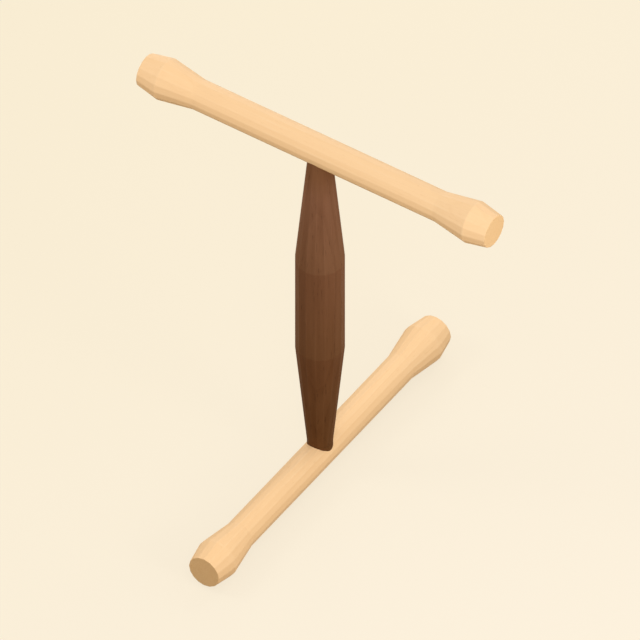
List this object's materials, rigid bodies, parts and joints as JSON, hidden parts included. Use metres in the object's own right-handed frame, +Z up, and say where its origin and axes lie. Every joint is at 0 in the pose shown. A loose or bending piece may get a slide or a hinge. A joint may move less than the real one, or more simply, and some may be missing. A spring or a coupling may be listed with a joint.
{
  "type": "niddy noddy",
  "caption": "Hand tool for winding yarn into skeins: a dark wooden shaft with a pale arm across each end at right angles, each turning on a tenon, all worked to 16 flats.",
  "frame": {"origin": "on the surface that the bottom arm's knobs lie on, straight below the shaft", "axes": "+Z up along the shaft, +X along the top arm, +Y along the bottom arm"},
  "size_m": [0.283, 0.283, 0.3136],
  "materials": {
    "dark_wood": "walnut, worked to narrow flats and oiled, satin",
    "pale_wood": "maple, worked to narrow flats, sanded and waxed, satin"
  },
  "bodies": {
    "shaft": {"shaft": "dark_wood"},
    "top_arm": {"top_arm": "pale_wood"},
    "bottom_arm": {"bottom_arm": "pale_wood"}
  },
  "joints": [
    {"name": "top_arm_turn", "type": "hinge", "parent": "shaft", "child": "top_arm", "pos_m": [0, 0, 0.2983], "axis": [0, 0, 1], "continuous": true},
    {"name": "bottom_arm_turn", "type": "hinge", "parent": "shaft", "child": "bottom_arm", "pos_m": [0, 0, 0.0153], "axis": [0, 0, 1], "continuous": true}
  ]
}
